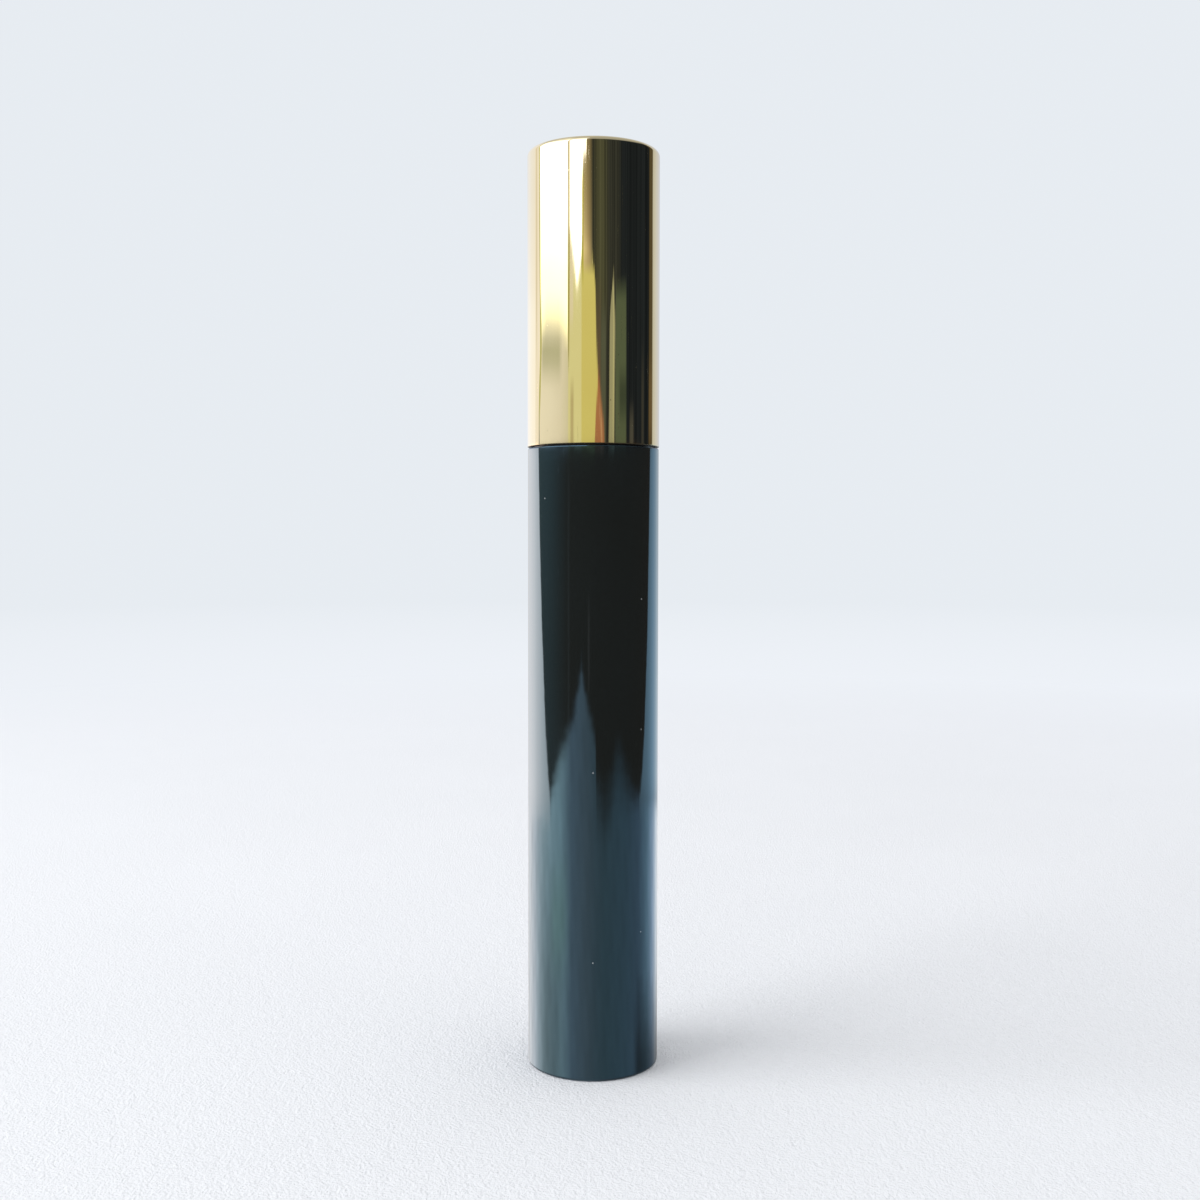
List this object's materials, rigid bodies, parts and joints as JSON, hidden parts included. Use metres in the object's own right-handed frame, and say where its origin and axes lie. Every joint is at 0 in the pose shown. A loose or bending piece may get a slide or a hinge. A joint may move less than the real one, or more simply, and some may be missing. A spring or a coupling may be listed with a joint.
{
  "type": "mascara tube",
  "caption": "Round mascara tube: a metal-shelled screw cap carries a brush wand and closes a sleeved bottle with a wiper in its threaded neck.",
  "frame": {"origin": "centre of the base rim, on the surface that the tube stands on", "axes": "+Z along the tube's axis, from the base to the top of the cap; X and Y are free, as the outside is round"},
  "size_m": [0.0178, 0.0178, 0.124],
  "materials": {
    "gold_shell": "mirror-polished, gold anodised",
    "black_lacquer": "gloss black lacquer",
    "collar_black": "gloss black, moulded",
    "plug_black": "fine matte black, moulded",
    "label_blank": "satin film, blank",
    "liner_plastic": "natural moulded plastic",
    "weight_steel": "turned, plated",
    "gasket_foam": "soft closed-cell foam",
    "rod_black": "gloss black, moulded",
    "wire_steel": "drawn stainless wire",
    "bristle_nylon": "black nylon fibres",
    "bottle_plastic": "satin black moulded plastic",
    "wiper_plastic": "soft natural polyethylene",
    "mascara_paste": "wet black paste"
  },
  "bodies": {
    "tube": {"body_sleeve": "black_lacquer", "bottle": "bottle_plastic", "wiper": "wiper_plastic", "mascara_fill": "mascara_paste", "shoulder_collar": "collar_black", "base_plug": "plug_black", "base_label": "label_blank"},
    "gasket": {"rod_gasket": "gasket_foam"},
    "weight": {"cap_weight": "weight_steel"},
    "cap": {"cap_shell": "gold_shell", "inner_cap": "liner_plastic", "wand_rod": "rod_black", "brush_wire": "wire_steel", "brush_bristles": "bristle_nylon"}
  },
  "joints": [
    {"name": "wand_pull", "type": "slide", "parent": "tube", "child": "gasket", "axis": [0, 0, 1], "range_m": [0, 0.09], "deforming": ["brush_bristles"]},
    {"name": "cap_rise", "type": "slide", "parent": "gasket", "child": "weight", "axis": [0, 0, 1], "range_m": [0, 0.00375]},
    {"name": "cap_turn", "type": "hinge", "parent": "weight", "child": "cap", "pos_m": [0, 0, 0.1], "axis": [0, 0, 1], "range_deg": [0, 450]}
  ],
  "couplings": [
    {"joint": "cap_rise", "follows": "cap_turn", "m_per_rad": 0.00047746}
  ]
}
